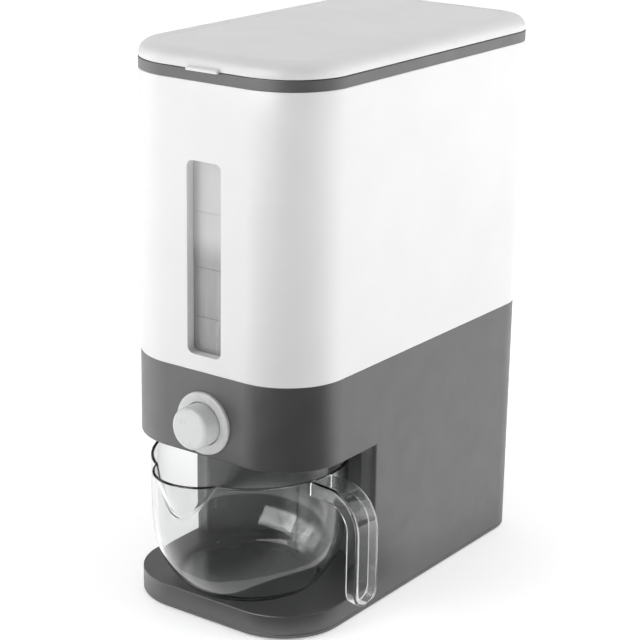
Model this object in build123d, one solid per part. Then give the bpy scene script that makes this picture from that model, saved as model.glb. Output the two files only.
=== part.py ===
from build123d import *
import math
import os

os.makedirs("parts", exist_ok=True)

# Countertop dry-food dispenser: a white storage bin with a hinged lid on a dark grey housing,
# whose head overhangs a bay where a clear jug stands. Pressing the button slides a slotted gate.
# Millimetres. +Z up, front towards -Y, origin on the floor at the middle of the body's plan.

# ---- overall body -------------------------------------------------------------------------
WIDTH = 160.0            # across the front
DEPTH = 290.0            # front to back
FRONT_R = 46.0           # plan radius of the two front corners
REAR_R = 31.0            # plan radius of the two rear corners
WALL = 3.0               # wall of the housing and the bin

# ---- levels above the floor ---------------------------------------------------------------
FOOT_PROUD = 1.2         # the rubber feet stand out this far below the cover
COVER_T = 3.0            # bottom cover plate
PLATE_TOP = 18.0         # deck the jug stands on
HEAD_BOTTOM = 122.5      # underside of the overhanging head
SEAM_Z = 182.5           # where the bin meets the housing
RIM_BOTTOM = 378.0       # top of the bin's wall, under the dark rim frame
RIM_TOP = 385.5
LID_RISE = 11.0          # lid top above the rim frame

# ---- softened outer edges -----------------------------------------------------------------
DECK_EDGE_R = 0.8        # deck's top edge and the cover's lower edge
HEAD_EDGE_R = 1.2        # head's lower edge
SEAM_EASE = 0.35         # each side of a joint line

# ---- fits ---------------------------------------------------------------------------------
FIT = 0.2                # between fixed pieces that nest
RUN = 0.3                # between pieces that move past each other
PIN_RUN = 0.05           # radial, hinge pins in their bores

# ---- jug bay ------------------------------------------------------------------------------
COLUMN_SETBACK = 87.0    # front of the column, behind the body's front
COLUMN_EDGE_R = 4.0      # round on the column's two front corners
LIP_R = 2.5              # round where the column's front turns into the hollow
BAY_R = 77.0             # hollow in the column, centred on the jug

# ---- jug ----------------------------------------------------------------------------------
JUG_SETBACK = 51.0       # jug's axis behind the body's front
JUG_YAW = -7.5           # degrees, how far the stored jug is turned
JUG_R = 69.0             # outside radius at the rim
JUG_BASE_R = 48.0
JUG_RIM_Z = 110.7
JUG_SHAPE = 4.9          # how soon the wall stands upright: higher is sooner
JUG_WALL = 2.2
JUG_FLOOR = 2.8
SPOUT_REACH = 12.0       # beyond the rim
SPOUT_DROP = 29.0        # how far below the rim it starts
SPOUT_HALF_W = 30.0      # half its width along the rim
HANDLE_W = 22.5
HANDLE_DEEP = 9.0        # channel depth of the strap
HANDLE_OUT = 43.0        # strap's outer face beyond the rim
HANDLE_BEND = 28.0
HANDLE_END_Z = 30.0
HANDLE_WALL = 2.0
HANDLE_EDGE_R = 2.0

# ---- window -------------------------------------------------------------------------------
WINDOW_W = 28.0
WINDOW_Z0 = 194.0
WINDOW_Z1 = 326.0
WINDOW_R = 4.5
REVEAL = 7.0             # depth of the sunk surround
SURROUND_T = 2.0
PANE_T = 1.8
MARK_Z = (218.0, 252.0, 290.0)   # moulded level lines
MARK_PROUD = 0.4

# ---- button -------------------------------------------------------------------------------
CAP_R = 14.9
CAP_PROUD = 16.5         # face in front of the body's front
CAP_WALL = 2.0
CAP_SKIRT = 21.5         # length of the cap from its face to its open end
CAP_FACE_R = 3.0
COLLAR_FLANGE = 4.5      # collar's face beyond its sleeve
COLLAR_PROUD = 2.5
SLEEVE_T = 2.0
SLEEVE_RUN = 0.6         # radial, cap in its sleeve
SLEEVE_LIFT = 0.5        # sleeve above the gate's tongue
SEAT_T = 2.0             # plug at the sleeve's inner end
TRAVEL = 13.0            # button stroke
ARM_HALF_W = 4.0
ARM_T = 4.0
SPRING_R = 9.0           # to the wire's centre
SPRING_WIRE = 1.2
SPRING_TURNS = 6.0

# ---- outlet and gate ----------------------------------------------------------------------
OUTLET_SETBACK = 53.0    # outlet's axis behind the body's front
SLOT_LEN = 12.0          # each port, along the stroke
SLOT_W = 50.0
GATE_T = 3.0
GATE_HALF_W = 30.0
GATE_EDGE = 3.5          # bar in front of the first port
RAIL_W = 5.7
GUIDE_TOP_T = 2.0
THROAT_EASE = 1.5        # throat beyond the ports at each end
NOZZLE_R = 34.0          # outside
NOZZLE_T = 2.0
NOZZLE_DROP = 8.0        # below the head
NOZZLE_FLANGE_R = 45.0
NOZZLE_FLANGE_T = 2.0

# ---- hopper -------------------------------------------------------------------------------
HOPPER_T = 2.0
HOPPER_NECK = 5.0        # upright part above the guide
SLOPE_SIDE = 50.0        # degrees
SLOPE_REAR = 32.0
RELIEF_GAP = 3.6         # room left around the button's sleeve

# ---- rim frame, lid and hinge -------------------------------------------------------------
LAP_DEPTH = 6.0          # half-lap where the bin meets the housing
LAP_OUTER = 1.4          # share of the wall kept by the housing
RIM_TONGUE = 8.0
RIM_TONGUE_T = 2.0
LID_INSET = 0.3
LID_T = 3.0
LID_EDGE_R = 9.5
DISH_INSET = 13.0        # shallow dish in the lid's top, inside its edge
DISH_DEEP = 0.8
LINER_T = 2.0
PLUG_DEPTH = 8.8
PLUG_T = 2.0
PLUG_GAP = 0.9           # between the liner's plug and the rim frame
GASKET_H = 3.0
GASKET_IN = 0.8          # how far the gasket sits into its groove
TAB_W = 26.0
TAB_REACH = 3.0
TAB_HANG = 1.9
HINGE_X = 40.0
HINGE_OUT = 5.0          # axis behind the body
HINGE_UP = 2.5           # axis above the rim frame
KNUCKLE_R = 4.0
KNUCKLE_HALF = 6.0
EAR_T = 4.0
EAR_GAP = 0.5
PIN_R = 1.5

# ---- screws and feet ----------------------------------------------------------------------
SCREW_R = 1.5
SCREW_HEAD_R = 2.9
SCREW_HEAD_T = 1.8
BOSS_R = 4.0
FOOT_R = 7.0
FOOT_SUNK = 1.0

# ---- derived ------------------------------------------------------------------------------
FRONT = -DEPTH / 2
REAR = DEPTH / 2
COLUMN_Y = FRONT + COLUMN_SETBACK
JUG_Y = FRONT + JUG_SETBACK
OUTLET_Y = FRONT + OUTLET_SETBACK
COVER_TOP = FOOT_PROUD + COVER_T
DECK_UNDER = PLATE_TOP - WALL
HEAD_FLOOR = HEAD_BOTTOM + WALL
JUG_Z = PLATE_TOP + RUN
PORT_Y = (OUTLET_Y - TRAVEL, OUTLET_Y + TRAVEL)
GATE_Z = HEAD_FLOOR + RUN
RAIL_TOP = GATE_Z + GATE_T + RUN
GUIDE_TOP = RAIL_TOP + GUIDE_TOP_T
THROAT_LEN = 2 * TRAVEL + SLOT_LEN + 2 * THROAT_EASE
BORE_R = CAP_R + SLEEVE_RUN
SLEEVE_R = BORE_R + SLEEVE_T
COLLAR_R = SLEEVE_R + COLLAR_FLANGE
SLEEVE_END_Y = FRONT - CAP_PROUD + CAP_SKIRT + TRAVEL + SEAT_T
BUTTON_Z = GATE_Z + GATE_T + SLEEVE_LIFT + SLEEVE_R
LID_BOTTOM = RIM_TOP + RUN
LID_TOP = RIM_TOP + LID_RISE
HINGE_Y = REAR + HINGE_OUT
HINGE_Z = RIM_TOP + HINGE_UP
RIM_INNER = WALL + FIT + RIM_TONGUE_T
COVER_SCREWS = [(-50.0, FRONT + 40), (50.0, FRONT + 40),
                (-(WIDTH / 2 - WALL - 3.5), REAR - 45), (WIDTH / 2 - WALL - 3.5, REAR - 45)]
FEET = [(-50.0, FRONT + 26), (50.0, FRONT + 26),
        (-60.0, REAR - 24), (60.0, REAR - 24)]
NOZZLE_SCREW_R = NOZZLE_FLANGE_R - 4.5
GUIDE_LUG_X = GATE_HALF_W + RUN + RAIL_W + 3.2
GUIDE_LUGS = [(sx * GUIDE_LUG_X, OUTLET_Y + dy) for sx in (-1, 1) for dy in (-19.0, 19.0)]
LID_SCREWS = [(sx * (WIDTH / 2 - 26), y) for sx in (-1, 1) for y in (FRONT + 52, REAR - 50)]


def plan(inset):
    """The body's plan, drawn in by `inset` on every side, corners kept concentric."""
    face = Rectangle(WIDTH - 2 * inset, DEPTH - 2 * inset)
    front = face.vertices().group_by(Axis.Y)[0]
    face = fillet(front, FRONT_R - inset)
    rear = face.vertices().group_by(Axis.Y)[-1]
    return fillet(rear, REAR_R - inset)


def slab(face, z0, z1):
    """A flat shape raised from z0 to z1."""
    return Pos(0, 0, z0) * extrude(face, z1 - z0)


def eased_slab(face, z0, z1, low, high):
    """A flat shape raised from z0 to z1, its lower and upper edges rounded."""
    body = extrude(face, z1 - z0)
    if low:
        body = fillet(body.edges().group_by(Axis.Z)[0], low)
    if high:
        body = fillet(body.edges().group_by(Axis.Z)[-1], high)
    return Pos(0, 0, z0) * body


def ring(outer, inner, z0, z1):
    """A wall that follows the body's plan, between two insets."""
    return slab(plan(outer), z0, z1) - slab(plan(inner), z0 - 1, z1 + 1)


def rod(x, y, z0, z1, r):
    """An upright cylinder."""
    return Pos(x, y, z0) * Cylinder(r, z1 - z0, align=(Align.CENTER, Align.CENTER, Align.MIN))


def along_y(x, z, y0, y1, r):
    """A cylinder lying front to back."""
    body = Cylinder(r, y1 - y0, align=(Align.CENTER, Align.CENTER, Align.MIN))
    return Pos(x, y0, z) * Rot(-90, 0, 0) * body


def along_x(y, z, x0, x1, r):
    """A cylinder lying left to right."""
    body = Cylinder(r, x1 - x0, align=(Align.CENTER, Align.CENTER, Align.MIN))
    return Pos(x0, y, z) * Rot(0, 90, 0) * body


def block(x0, x1, y0, y1, z0, z1):
    """A box between two corners."""
    return Pos((x0 + x1) / 2, (y0 + y1) / 2, (z0 + z1) / 2) * Box(x1 - x0, y1 - y0, z1 - z0)


def column_plan(inset):
    """Plan of the column: the body behind COLUMN_Y, hollowed round the jug."""
    keep = Pos(0, (COLUMN_Y + inset + REAR) / 2) * Rectangle(WIDTH, REAR - COLUMN_Y - inset)
    face = plan(inset) & keep
    face = face - Pos(0, JUG_Y) * Circle(BAY_R + inset)
    front = face.vertices().group_by(Axis.Y)[0].sort_by(lambda v: abs(v.X))
    face = fillet(front[-2:], COLUMN_EDGE_R - inset)
    if inset == 0:
        front = face.vertices().group_by(Axis.Y)[0].sort_by(lambda v: abs(v.X))
        face = fillet(front[:2], LIP_R)
    return face


def upright_slot(width, z0, z1, radius, y0, y1):
    """A round-cornered opening in the front, cut from y0 to y1."""
    face = RectangleRounded(width, z1 - z0, radius)
    return Pos(0, y0, (z0 + z1) / 2) * Rot(-90, 0, 0) * extrude(face, y1 - y0)


def save(shape, name):
    shape.label = name
    export_step(shape, f"parts/{name}.step")


# ---- lower housing ------------------------------------------------------------------------
# One grey moulding: deck, column and head, hollow inside and open at the top and the bottom.
housing = eased_slab(plan(0), COVER_TOP, PLATE_TOP, SEAM_EASE, DECK_EDGE_R)
housing += eased_slab(plan(0), HEAD_BOTTOM, SEAM_Z, HEAD_EDGE_R, SEAM_EASE)
housing += slab(column_plan(0), COVER_TOP + 2 * SEAM_EASE, SEAM_Z - 2 * SEAM_EASE)
housing -= slab(plan(WALL), COVER_TOP - 1, DECK_UNDER)
housing -= slab(column_plan(WALL), DECK_UNDER - 1, HEAD_FLOOR + 1)
housing -= slab(plan(WALL), HEAD_FLOOR, SEAM_Z + 1)
housing -= slab(plan(LAP_OUTER), SEAM_Z - LAP_DEPTH, SEAM_Z + 1)
for x, y in COVER_SCREWS:
    top = DECK_UNDER + 1 if y < COLUMN_Y else PLATE_TOP + 4
    housing += rod(x, y, COVER_TOP, top, BOSS_R)
    housing -= rod(x, y, COVER_TOP - 1, COVER_TOP + 9, SCREW_R + PIN_RUN)
for y in PORT_Y:
    housing -= Pos(0, y, HEAD_BOTTOM - 1) * extrude(Rectangle(SLOT_W, SLOT_LEN), WALL + 2)
for sx in (-1, 1):
    housing -= rod(sx * NOZZLE_SCREW_R, OUTLET_Y, HEAD_BOTTOM - 1, HEAD_FLOOR + 1, SCREW_R + PIN_RUN)
for x, y in GUIDE_LUGS:
    housing -= rod(x, y, HEAD_FLOOR - 2.4, HEAD_FLOOR + 1, SCREW_R + PIN_RUN)
housing -= along_y(0, BUTTON_Z, FRONT - 1, FRONT + WALL + 1, SLEEVE_R + FIT)
save(housing, "lower_housing")

# ---- bottom cover, feet and screws --------------------------------------------------------
cover = eased_slab(plan(0), FOOT_PROUD, COVER_TOP, DECK_EDGE_R, SEAM_EASE)
cover += ring(WALL + FIT, WALL + FIT + 2, COVER_TOP - 0.5, COVER_TOP + 4)
for x, y in COVER_SCREWS:
    cover -= rod(x, y, COVER_TOP - 0.6, COVER_TOP + 5, BOSS_R + 0.5) - rod(x, y, 0, COVER_TOP, 20)
    cover -= rod(x, y, 0, COVER_TOP + 5, SCREW_R + 0.2)
    cover -= rod(x, y, 0, FOOT_PROUD + SCREW_HEAD_T, SCREW_HEAD_R + FIT)
for x, y in FEET:
    cover -= rod(x, y, 0, FOOT_PROUD + FOOT_SUNK, FOOT_R + FIT)
save(cover, "bottom_cover")

feet = [rod(x, y, 0, FOOT_PROUD + FOOT_SUNK, FOOT_R) for x, y in FEET]
feet = [fillet(f.edges().group_by(Axis.Z)[0], 0.6) for f in feet]
save(Compound(children=feet), "rubber_feet")


def screw(x, y, z_head, z_tip):
    """A pan-head screw, head at z_head, tip at z_tip, up or down, with a cross recess."""
    s = 1 if z_tip > z_head else -1
    lo, hi = sorted((z_head, z_tip))
    body = rod(x, y, lo, hi, SCREW_R)
    h0, h1 = sorted((z_head, z_head + s * SCREW_HEAD_T))
    body += rod(x, y, h0, h1, SCREW_HEAD_R)
    for w, d in ((3.2, 0.7), (0.7, 3.2)):
        body -= Pos(x, y, z_head) * Box(w, d, 1.6)
    return body


cover_screws = [screw(x, y, FOOT_PROUD, COVER_TOP + 8.4) for x, y in COVER_SCREWS]
save(Compound(children=cover_screws), "cover_screws")

# ---- upper bin ----------------------------------------------------------------------------
# White wall open at both ends, half-lapped into the housing, with a sunk window surround.
upper_bin = eased_slab(plan(0), SEAM_Z, RIM_BOTTOM, SEAM_EASE, SEAM_EASE)
upper_bin -= slab(plan(WALL), SEAM_Z - 1, RIM_BOTTOM + 1)
upper_bin += ring(LAP_OUTER + FIT, WALL, SEAM_Z - LAP_DEPTH + FIT, SEAM_Z + 1)
upper_bin += upright_slot(WINDOW_W + 2 * SURROUND_T, WINDOW_Z0 - SURROUND_T, WINDOW_Z1 + SURROUND_T,
                          WINDOW_R + SURROUND_T, FRONT + 1, FRONT + REVEAL)
upper_bin -= upright_slot(WINDOW_W, WINDOW_Z0, WINDOW_Z1, WINDOW_R, FRONT - 1, FRONT + REVEAL + 1)
save(upper_bin, "upper_bin")

pane = upright_slot(WINDOW_W + 2 * SURROUND_T, WINDOW_Z0 - SURROUND_T, WINDOW_Z1 + SURROUND_T,
                    WINDOW_R + SURROUND_T, FRONT + REVEAL, FRONT + REVEAL + PANE_T)
for z in MARK_Z:
    pane += block(-WINDOW_W / 2 + 2, WINDOW_W / 2 - 2, FRONT + REVEAL - MARK_PROUD,
                  FRONT + REVEAL + 0.5, z - 0.5, z + 0.5)
save(pane, "window_pane")

# ---- outlet nozzle under the head ---------------------------------------------------------
nozzle = rod(0, OUTLET_Y, HEAD_BOTTOM - NOZZLE_FLANGE_T, HEAD_BOTTOM, NOZZLE_FLANGE_R)
nozzle += rod(0, OUTLET_Y, HEAD_BOTTOM - NOZZLE_DROP, HEAD_BOTTOM, NOZZLE_R)
nozzle -= rod(0, OUTLET_Y, 0, HEAD_BOTTOM + 1, NOZZLE_R - NOZZLE_T)
for sx in (-1, 1):
    nozzle -= rod(sx * NOZZLE_SCREW_R, OUTLET_Y, 0, HEAD_BOTTOM + 1, SCREW_R + PIN_RUN)
save(nozzle, "outlet_nozzle")

nozzle_screws = [screw(sx * NOZZLE_SCREW_R, OUTLET_Y, HEAD_FLOOR + SCREW_HEAD_T,
                       HEAD_BOTTOM - NOZZLE_FLANGE_T + 0.2) for sx in (-1, 1)]
save(Compound(children=nozzle_screws), "nozzle_screws")

# ---- gate guide: two rails and a top plate that the hopper stands on ----------------------
guide_half = GATE_HALF_W + RUN + RAIL_W
guide_y0 = OUTLET_Y - THROAT_LEN / 2 - 6
guide_y1 = OUTLET_Y + THROAT_LEN / 2 + 16
guide = block(-guide_half, guide_half, guide_y0, guide_y1, HEAD_FLOOR, GUIDE_TOP)
guide -= block(-GATE_HALF_W - RUN, GATE_HALF_W + RUN, guide_y0 - 1, guide_y1 + 1,
               HEAD_FLOOR - 1, RAIL_TOP)
guide -= block(-SLOT_W / 2, SLOT_W / 2, OUTLET_Y - THROAT_LEN / 2, OUTLET_Y + THROAT_LEN / 2,
               0, GUIDE_TOP + 1)
for x, y in GUIDE_LUGS:
    sx = 1 if x > 0 else -1
    lug = rod(x, y, HEAD_FLOOR, HEAD_FLOOR + 3, BOSS_R)
    x0, x1 = sorted((x, sx * (guide_half - 1)))
    lug += block(x0, x1, y - BOSS_R, y + BOSS_R, HEAD_FLOOR, HEAD_FLOOR + 3)
    guide += lug
for x, y in GUIDE_LUGS:
    guide -= rod(x, y, HEAD_FLOOR - 1, HEAD_FLOOR + 4, SCREW_R + PIN_RUN)
save(guide, "gate_guide")

guide_screws = [screw(x, y, HEAD_FLOOR + 3 + SCREW_HEAD_T, HEAD_FLOOR - 2.2) for x, y in GUIDE_LUGS]
save(Compound(children=guide_screws), "guide_screws")

# ---- gate: slotted shutter with a tongue that reaches under the button --------------------
gate_y0 = PORT_Y[0] - TRAVEL - SLOT_LEN / 2 - GATE_EDGE
gate_y1 = PORT_Y[1] + SLOT_LEN / 2 + 4
arm_y1 = FRONT - CAP_PROUD + CAP_SKIRT + 4
arm_y0 = arm_y1 - ARM_T
gate = block(-GATE_HALF_W, GATE_HALF_W, gate_y0, gate_y1, GATE_Z, GATE_Z + GATE_T)
for y in PORT_Y:
    gate -= block(-SLOT_W / 2, SLOT_W / 2, y - TRAVEL - SLOT_LEN / 2, y - TRAVEL + SLOT_LEN / 2,
                  GATE_Z - 1, GATE_Z + GATE_T + 1)
gate += block(-ARM_HALF_W * 2, ARM_HALF_W * 2, arm_y0, gate_y0 + 1, GATE_Z, GATE_Z + GATE_T)
gate += block(-ARM_HALF_W, ARM_HALF_W, arm_y0, arm_y1, GATE_Z, BUTTON_Z - CAP_R + CAP_WALL)
save(gate, "gate_slide")

# ---- hopper -------------------------------------------------------------------------------


def frustum(x, y0, y1, spread_x, spread_y0, spread_y1, z0, z1):
    """A pyramid that opens upwards from a rectangle, each side at its own slope."""
    low = Pos(0, (y0 + y1) / 2, z0) * Rectangle(2 * x, y1 - y0)
    ya, yb = y0 - spread_y0, y1 + spread_y1
    high = Pos(0, (ya + yb) / 2, z1) * Rectangle(2 * (x + spread_x), yb - ya)
    return loft([low, high], ruled=True)


hop_z0 = GUIDE_TOP
hop_z1 = hop_z0 + HOPPER_NECK
hop_z2 = hop_z1 + (DEPTH / 2 - OUTLET_Y) * math.tan(math.radians(SLOPE_REAR)) + 10
rise = hop_z2 - hop_z1
run_side = rise / math.tan(math.radians(SLOPE_SIDE))
run_rear = rise / math.tan(math.radians(SLOPE_REAR))
throat_y0 = OUTLET_Y - THROAT_LEN / 2
throat_y1 = OUTLET_Y + THROAT_LEN / 2
grow_side = HOPPER_T / math.sin(math.radians(SLOPE_SIDE))
grow_rear = HOPPER_T / math.sin(math.radians(SLOPE_REAR))
inside = frustum(SLOT_W / 2, throat_y0, throat_y1, run_side, run_side, run_rear, hop_z1, hop_z2)
inside += block(-SLOT_W / 2, SLOT_W / 2, throat_y0, throat_y1, hop_z0 - 1, hop_z1 + 0.01)
outside = frustum(SLOT_W / 2 + grow_side, throat_y0 - grow_side, throat_y1 + grow_rear,
                  run_side, run_side, run_rear, hop_z1, hop_z2)
outside += block(-SLOT_W / 2 - HOPPER_T, SLOT_W / 2 + HOPPER_T, throat_y0 - HOPPER_T,
                 throat_y1 + HOPPER_T, hop_z0, hop_z1 + 0.5)
relief_x = SLEEVE_R + RELIEF_GAP
relief_y = throat_y0 - HOPPER_T - 1.5
relief_z = BUTTON_Z + SLEEVE_R + RELIEF_GAP
outside -= block(-relief_x, relief_x, FRONT - 10, relief_y, 0, relief_z)
inside -= block(-relief_x - HOPPER_T, relief_x + HOPPER_T, FRONT - 10, relief_y + HOPPER_T,
                0, relief_z + HOPPER_T)
hopper = (outside & slab(plan(WALL + RUN), hop_z0, hop_z2)) - inside
hopper = sorted(hopper.solids(), key=lambda s: s.volume)[-1]
save(hopper, "hopper_funnel")

# ---- button -------------------------------------------------------------------------------
collar = along_y(0, BUTTON_Z, FRONT - COLLAR_PROUD, FRONT, COLLAR_R)
collar = fillet(collar.edges().group_by(Axis.Y)[0], 1.2)
collar += along_y(0, BUTTON_Z, FRONT - 0.5, SLEEVE_END_Y, SLEEVE_R)
collar -= along_y(0, BUTTON_Z, FRONT - 10, SLEEVE_END_Y + 1, BORE_R)
collar -= block(-ARM_HALF_W - RUN, ARM_HALF_W + RUN, arm_y0 - RUN, SLEEVE_END_Y + 1,
                0, BUTTON_Z - CAP_R + CAP_WALL + 1)
save(collar, "button_collar")

seat = along_y(0, BUTTON_Z, SLEEVE_END_Y - SEAT_T, SLEEVE_END_Y, BORE_R - FIT)
seat += along_y(0, BUTTON_Z, SLEEVE_END_Y - SEAT_T - 3, SLEEVE_END_Y - SEAT_T, SPRING_R - 2)
seat -= block(-ARM_HALF_W - 2, ARM_HALF_W + 2, FRONT, SLEEVE_END_Y + 1, 0,
              BUTTON_Z - CAP_R + CAP_WALL + 2)
save(seat, "spring_seat")

cap_y0 = FRONT - CAP_PROUD
cap = along_y(0, BUTTON_Z, cap_y0, cap_y0 + CAP_SKIRT, CAP_R)
cap = fillet(cap.edges().group_by(Axis.Y)[0], CAP_FACE_R)
cap -= along_y(0, BUTTON_Z, cap_y0 + CAP_WALL, cap_y0 + CAP_SKIRT + 1, CAP_R - CAP_WALL)
cap -= block(-ARM_HALF_W, ARM_HALF_W, arm_y0, arm_y1 + 5, 0, BUTTON_Z - CAP_R + CAP_WALL)
save(cap, "button_cap")

spring_y0 = cap_y0 + CAP_WALL + SPRING_WIRE
spring_y1 = SLEEVE_END_Y - SEAT_T - SPRING_WIRE
helix = Helix(pitch=(spring_y1 - spring_y0) / SPRING_TURNS, height=spring_y1 - spring_y0,
              radius=SPRING_R)
wire = Plane(origin=helix @ 0, z_dir=helix % 0) * Circle(SPRING_WIRE / 2)
spring = Pos(0, spring_y0, BUTTON_Z) * Rot(-90, 0, 0) * sweep(wire, path=helix, is_frenet=True)
save(spring, "return_spring")

# ---- rim frame with hinge ears ------------------------------------------------------------
rim = eased_slab(plan(0), RIM_BOTTOM, RIM_TOP, SEAM_EASE, SEAM_EASE)
rim -= slab(plan(RIM_INNER), RIM_BOTTOM - 1, RIM_TOP + 1)
rim += ring(WALL + FIT, RIM_INNER, RIM_BOTTOM - RIM_TONGUE, RIM_BOTTOM + 1)
for sx in (-1, 1):
    for side in (-1, 1):
        x = sx * HINGE_X + side * (KNUCKLE_HALF + EAR_GAP + EAR_T / 2)
        ear = block(x - EAR_T / 2, x + EAR_T / 2, REAR - 1, HINGE_Y, RIM_BOTTOM, RIM_TOP)
        ear += block(x - EAR_T / 2, x + EAR_T / 2, HINGE_Y - KNUCKLE_R, HINGE_Y + KNUCKLE_R,
                     RIM_BOTTOM + 2, HINGE_Z)
        ear += along_x(HINGE_Y, HINGE_Z, x - EAR_T / 2, x + EAR_T / 2, KNUCKLE_R)
        rim += ear
    span = KNUCKLE_HALF + EAR_GAP + EAR_T + 1
    rim -= along_x(HINGE_Y, HINGE_Z, sx * HINGE_X - span, sx * HINGE_X + span, PIN_R + PIN_RUN)
save(rim, "rim_frame")

pin_half = KNUCKLE_HALF + EAR_GAP + EAR_T
pins = [along_x(HINGE_Y, HINGE_Z, sx * HINGE_X - pin_half, sx * HINGE_X + pin_half, PIN_R)
        for sx in (-1, 1)]
save(Compound(children=pins), "hinge_pins")

# ---- lid ----------------------------------------------------------------------------------
lid = slab(plan(LID_INSET), LID_BOTTOM, LID_TOP)
lid = fillet(lid.edges().group_by(Axis.Z)[-1], LID_EDGE_R)
hollow = slab(plan(LID_INSET + LID_T), LID_BOTTOM - 1, LID_TOP - LID_T)
hollow = fillet(hollow.edges().group_by(Axis.Z)[-1], LID_EDGE_R - LID_T)
lid -= hollow
lid -= slab(plan(DISH_INSET), LID_TOP - DISH_DEEP, LID_TOP + 1)
tab = block(-TAB_W / 2, TAB_W / 2, FRONT - TAB_REACH, FRONT - RUN, RIM_TOP - TAB_HANG, RIM_TOP + 3)
tab = fillet(tab.edges().filter_by(Axis.Z).group_by(Axis.Y)[0], 2.0)
tab += block(-TAB_W / 2, TAB_W / 2, FRONT - RUN, FRONT + LID_INSET + 1, LID_BOTTOM, RIM_TOP + 3)
lid += tab
for x, y in LID_SCREWS:
    lid += rod(x, y, LID_BOTTOM + LINER_T + FIT, LID_TOP - LID_T + 0.5, BOSS_R)
    lid -= rod(x, y, LID_BOTTOM, LID_TOP - LID_T - 0.3, SCREW_R + PIN_RUN)
for sx in (-1, 1):
    x0, x1 = sx * HINGE_X - KNUCKLE_HALF, sx * HINGE_X + KNUCKLE_HALF
    lid += block(x0, x1, REAR - LID_INSET - 1, HINGE_Y, HINGE_Z - 1.5, HINGE_Z + KNUCKLE_R)
    lid += along_x(HINGE_Y, HINGE_Z, x0, x1, KNUCKLE_R)
    lid -= along_x(HINGE_Y, HINGE_Z, x0 - 1, x1 + 1, PIN_R + PIN_RUN)
save(lid, "lid_shell")

plug_out = RIM_INNER + PLUG_GAP
liner = slab(plan(LID_INSET + LID_T + FIT), LID_BOTTOM, LID_BOTTOM + LINER_T)
liner += ring(plug_out, plug_out + PLUG_T, LID_BOTTOM - PLUG_DEPTH, LID_BOTTOM + 0.5)
groove_z = LID_BOTTOM - PLUG_DEPTH / 2 - GASKET_H / 2
liner -= ring(plug_out - 1, plug_out + GASKET_IN, groove_z, groove_z + GASKET_H)
for x, y in LID_SCREWS:
    liner -= rod(x, y, LID_BOTTOM - 1, LID_BOTTOM + LINER_T + 1, SCREW_R + FIT)
save(liner, "lid_liner")

gasket = ring(RIM_INNER + RUN, plug_out + GASKET_IN - 0.05, groove_z + 0.05, groove_z + GASKET_H - 0.05)
save(gasket, "lid_gasket")

lid_screws = [screw(x, y, LID_BOTTOM - SCREW_HEAD_T, LID_TOP - LID_T - 1) for x, y in LID_SCREWS]
save(Compound(children=lid_screws), "lid_screws")

# ---- jug ----------------------------------------------------------------------------------


def jug_radius(share):
    """Outside radius at a share of the height: quick to widen low down, then upright."""
    return JUG_BASE_R + (JUG_R - JUG_BASE_R) * (1 - (1 - share) ** JUG_SHAPE)


def bowl_solid(inset, z0, top):
    """The bowl filled in, its wall drawn in by `inset`."""
    shares = [(i / 9) ** 1.7 for i in range(10)]
    wall = [(jug_radius(s) - inset, z0 + s * (JUG_RIM_Z - z0)) for s in shares]
    curve = Spline(*[(r, 0, z) for r, z in wall], tangents=[(1, 0, 0.9), (0, 0, 1)])
    lines = [Line((0, 0, z0), (wall[0][0], 0, z0)), curve]
    if top > JUG_RIM_Z:
        lines.append(Line((wall[-1][0], 0, JUG_RIM_Z), (wall[-1][0], 0, top)))
    lines += [Line((wall[-1][0], 0, top), (0, 0, top)), Line((0, 0, top), (0, 0, z0))]
    return revolve(make_face(Wire(lines).edges()), Axis.Z, 360)


def spout_solid(inset, top):
    """Upright cone whose flare breaks through the bowl's wall as a U-shaped spout."""
    chord = math.sqrt(JUG_R ** 2 - SPOUT_HALF_W ** 2)
    reach = JUG_R + SPOUT_REACH
    d = (reach ** 2 - chord ** 2 - SPOUT_HALF_W ** 2) / (2 * (reach - chord))
    r_top = reach - d
    r_low = JUG_R - d
    rate = (r_top - r_low) / SPOUT_DROP
    height = SPOUT_DROP + 14 + (top - JUG_RIM_Z)
    r0 = r_low - 14 * rate - inset
    r1 = r_top + (top - JUG_RIM_Z) * rate - inset
    cone = Cone(r0, r1, height, align=(Align.CENTER, Align.CENTER, Align.MIN))
    return Pos(0, -d, JUG_RIM_Z - SPOUT_DROP - 14) * cone


place = Pos(0, JUG_Y, 0) * Rot(0, 0, JUG_YAW)
bowl_out = bowl_solid(0, JUG_Z, JUG_RIM_Z) + spout_solid(0, JUG_RIM_Z)
bowl_in = bowl_solid(JUG_WALL, JUG_Z + JUG_FLOOR, JUG_RIM_Z + 2) + spout_solid(JUG_WALL, JUG_RIM_Z + 2)
bowl = bowl_out - bowl_in
save(place * bowl, "jug_bowl")

# The strap leaves the rim level, bends down and ends free in a half-round.
strap_r = JUG_R + HANDLE_OUT


def strap_side(depth_in, depth_out):
    """Side view of the strap between two depths from its outer face."""
    a, b = depth_in, depth_out
    x0 = JUG_R - 6
    top_a, top_b = JUG_RIM_Z - a, JUG_RIM_Z - b
    xa, xb = strap_r - a, strap_r - b
    bend_x, bend_z = strap_r - HANDLE_BEND, JUG_RIM_Z - HANDLE_BEND
    ra, rb = HANDLE_BEND - a, HANDLE_BEND - b
    lines = [Line((x0, top_a), (bend_x, top_a)),
             CenterArc((bend_x, bend_z), ra, 90, -90),
             Line((xa, bend_z), (xa, HANDLE_END_Z)),
             Line((xa, HANDLE_END_Z), (xb, HANDLE_END_Z)),
             Line((xb, HANDLE_END_Z), (xb, bend_z)),
             CenterArc((bend_x, bend_z), rb, 0, 90),
             Line((bend_x, top_b), (x0, top_b)),
             Line((x0, top_b), (x0, top_a))]
    return make_face(Wire(lines).edges())


def strap(width, depth_in, depth_out):
    """The side view given its width across the strap."""
    return Rot(90, 0, 0) * extrude(strap_side(depth_in, depth_out), width / 2, both=True)


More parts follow.
